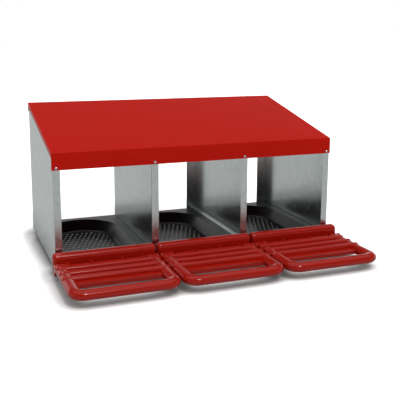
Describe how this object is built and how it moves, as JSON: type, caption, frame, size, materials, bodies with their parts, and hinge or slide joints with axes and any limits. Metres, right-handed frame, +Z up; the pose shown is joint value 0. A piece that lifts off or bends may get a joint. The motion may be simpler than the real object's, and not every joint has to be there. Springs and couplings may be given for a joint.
{
  "type": "nesting box",
  "caption": "Open-backed poultry nesting box in galvanised sheet with a sloping red roof, drop-in black nest pans, red sills and fold-up red perches.",
  "frame": {"origin": "on the ground under the middle of the cabinet, half way between its front and rear flanges (the perches reach out beyond it)", "axes": "+X along the row of bays to the right as seen from the front, +Y towards the wall side, +Z up; the open front and the perches face -Y"},
  "size_m": [0.92, 0.7532, 0.4526],
  "materials": {
    "coated_roof_sheet": "red coated steel sheet, satin",
    "galvanised_sheet": "hot-dip galvanised, fine spangle, soft mirror",
    "black_polypropylene": "moulded black polypropylene, glossy",
    "red_polypropylene": "moulded red polypropylene, satin gloss",
    "zinc_plated_steel": "bright zinc plate"
  },
  "bodies": {
    "cabinet": {"roof": "coated_roof_sheet", "side_panel_left": "galvanised_sheet", "divider_left": "galvanised_sheet", "divider_right": "galvanised_sheet", "side_panel_right": "galvanised_sheet", "front_rail": "galvanised_sheet", "rear_rail": "galvanised_sheet", "runner_1_left": "galvanised_sheet", "runner_1_right": "galvanised_sheet", "nest_pan_1": "black_polypropylene", "sill_1": "red_polypropylene", "hinge_rod_1": "zinc_plated_steel", "runner_2_left": "galvanised_sheet", "runner_2_right": "galvanised_sheet", "nest_pan_2": "black_polypropylene", "sill_2": "red_polypropylene", "hinge_rod_2": "zinc_plated_steel", "runner_3_left": "galvanised_sheet", "runner_3_right": "galvanised_sheet", "nest_pan_3": "black_polypropylene", "sill_3": "red_polypropylene", "hinge_rod_3": "zinc_plated_steel", "roof_screws_front": "zinc_plated_steel", "roof_screws_rear": "zinc_plated_steel", "front_rail_rivets": "zinc_plated_steel", "rear_rail_rivets": "zinc_plated_steel", "runner_rivets": "zinc_plated_steel", "sill_screws": "zinc_plated_steel"},
    "perch_left": {"perch_1": "red_polypropylene"},
    "perch_middle": {"perch_2": "red_polypropylene"},
    "perch_right": {"perch_3": "red_polypropylene"}
  },
  "joints": [
    {"name": "perch_left_fold", "type": "hinge", "parent": "cabinet", "child": "perch_left", "pos_m": [-0.308, -0.289, 0.036], "axis": [-1, 0, 0], "range_deg": [0, 90]},
    {"name": "perch_middle_fold", "type": "hinge", "parent": "cabinet", "child": "perch_middle", "pos_m": [0, -0.289, 0.036], "axis": [-1, 0, 0], "range_deg": [0, 90]},
    {"name": "perch_right_fold", "type": "hinge", "parent": "cabinet", "child": "perch_right", "pos_m": [0.308, -0.289, 0.036], "axis": [-1, 0, 0], "range_deg": [0, 90]}
  ]
}
